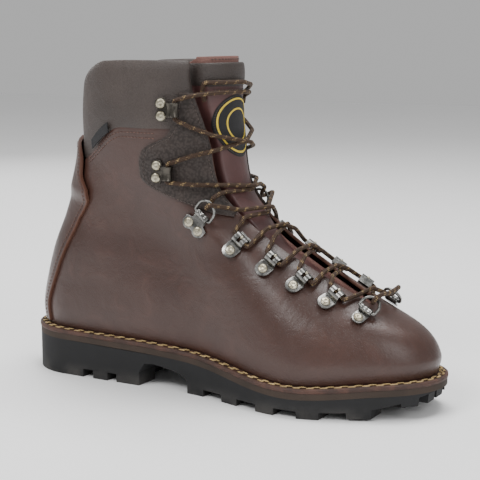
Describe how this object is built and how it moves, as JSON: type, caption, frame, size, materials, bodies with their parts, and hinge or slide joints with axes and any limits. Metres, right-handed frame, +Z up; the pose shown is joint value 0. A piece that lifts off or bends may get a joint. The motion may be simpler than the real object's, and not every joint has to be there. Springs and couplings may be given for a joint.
{
  "type": "mountaineering boot",
  "caption": "Right-foot leather mountaineering boot with a padded collar, welted lug sole, hinged D-rings, lacing loops, speed hooks and a round cord lace.",
  "frame": {"origin": "middle of the heel tread's flat face, on the ground", "axes": "+X along the boot to the toe, +Y to the inner side of the foot, +Z up"},
  "size_m": [0.326, 0.1149, 0.2365],
  "materials": {
    "rubber": "matt moulded rubber with worn lug edges",
    "midsole": "matt buffed micro-porous rubber",
    "welt_leather": "red-brown leather with a raw buffed edge",
    "fibre_board": "matt compressed fibre board",
    "steel": "tempered spring steel strip",
    "lining_leather": "soft matt lining leather",
    "leather": "smooth waxed brown leather, semi-gloss",
    "padding_leather": "soft dark grey-brown leather over foam",
    "grain_leather": "pebbled dark leather",
    "tongue_leather": "smooth oxblood-brown leather",
    "badge_fabric": "black woven label",
    "lace_cord": "braided round cord, dark brown with golden flecks",
    "nickel": "satin nickel plate, slightly worn",
    "rivet_nickel": "pale satin nickel rivet heads",
    "dark_bronze": "dark gunmetal plate, semi-gloss"
  },
  "bodies": {
    "root": {"outsole": "rubber", "midsole": "midsole", "welt": "welt_leather", "insole_board": "fibre_board", "shank": "steel", "footbed": "lining_leather", "upper": "leather", "lining": "lining_leather", "toe_puff": "fibre_board", "heel_counter": "fibre_board", "backstay": "leather", "collar": "padding_leather", "facing_lateral": "grain_leather", "facing_medial": "grain_leather", "side_tab": "badge_fabric", "lace": "lace_cord", "loop_1_lateral": "nickel", "loop_rivet_1_lateral": "rivet_nickel", "loop_2_lateral": "nickel", "loop_rivet_2_lateral": "rivet_nickel", "loop_3_lateral": "nickel", "loop_rivet_3_lateral": "rivet_nickel", "loop_4_lateral": "nickel", "loop_rivet_4_lateral": "rivet_nickel", "toe_plate_lateral": "nickel", "toe_rivet_lateral": "rivet_nickel", "ankle_plate_lateral": "nickel", "hook_lower_lateral": "dark_bronze", "hook_upper_lateral": "dark_bronze", "ankle_rivet_a_lateral": "rivet_nickel", "ankle_rivet_b_lateral": "rivet_nickel", "hook_lower_rivet_a_lateral": "rivet_nickel", "hook_lower_rivet_b_lateral": "rivet_nickel", "hook_upper_rivet_a_lateral": "rivet_nickel", "hook_upper_rivet_b_lateral": "rivet_nickel", "loop_1_medial": "nickel", "loop_rivet_1_medial": "rivet_nickel", "loop_2_medial": "nickel", "loop_rivet_2_medial": "rivet_nickel", "loop_3_medial": "nickel", "loop_rivet_3_medial": "rivet_nickel", "loop_4_medial": "nickel", "loop_rivet_4_medial": "rivet_nickel", "toe_plate_medial": "nickel", "toe_rivet_medial": "rivet_nickel", "ankle_plate_medial": "nickel", "hook_lower_medial": "dark_bronze", "hook_upper_medial": "dark_bronze", "ankle_rivet_a_medial": "rivet_nickel", "ankle_rivet_b_medial": "rivet_nickel", "hook_lower_rivet_a_medial": "rivet_nickel", "hook_lower_rivet_b_medial": "rivet_nickel", "hook_upper_rivet_a_medial": "rivet_nickel", "hook_upper_rivet_b_medial": "rivet_nickel"},
    "tongue": {"tongue": "tongue_leather", "tongue_badge": "badge_fabric"},
    "toe_ring_lateral": {"toe_ring_lateral": "nickel"},
    "toe_ring_medial": {"toe_ring_medial": "nickel"},
    "ankle_ring_lateral": {"ankle_ring_lateral": "nickel"},
    "ankle_ring_medial": {"ankle_ring_medial": "nickel"}
  },
  "joints": [
    {"name": "tongue_fold", "type": "hinge", "parent": "root", "child": "tongue", "pos_m": [0.226, 0, 0.064], "axis": [0, 1, 0], "range_deg": [-8, 0]},
    {"name": "toe_ring_lateral_swing", "type": "hinge", "parent": "root", "child": "toe_ring_lateral", "pos_m": [0.23059, -0.01667, 0.07064], "axis": [-0.8734, 0.0389, 0.4854], "range_deg": [-8, 3]},
    {"name": "toe_ring_medial_swing", "type": "hinge", "parent": "root", "child": "toe_ring_medial", "pos_m": [0.23046, 0.02777, 0.07077], "axis": [0.8913, 0.0642, -0.4489], "range_deg": [-8, 3]},
    {"name": "ankle_ring_lateral_swing", "type": "hinge", "parent": "root", "child": "ankle_ring_lateral", "pos_m": [0.11505, -0.03706, 0.12818], "axis": [-0.7475, -0.0485, 0.6625], "range_deg": [-6, 3]},
    {"name": "ankle_ring_medial_swing", "type": "hinge", "parent": "root", "child": "ankle_ring_medial", "pos_m": [0.1148, 0.03621, 0.12814], "axis": [0.7541, -0.015, -0.6565], "range_deg": [-6, 3]}
  ]
}
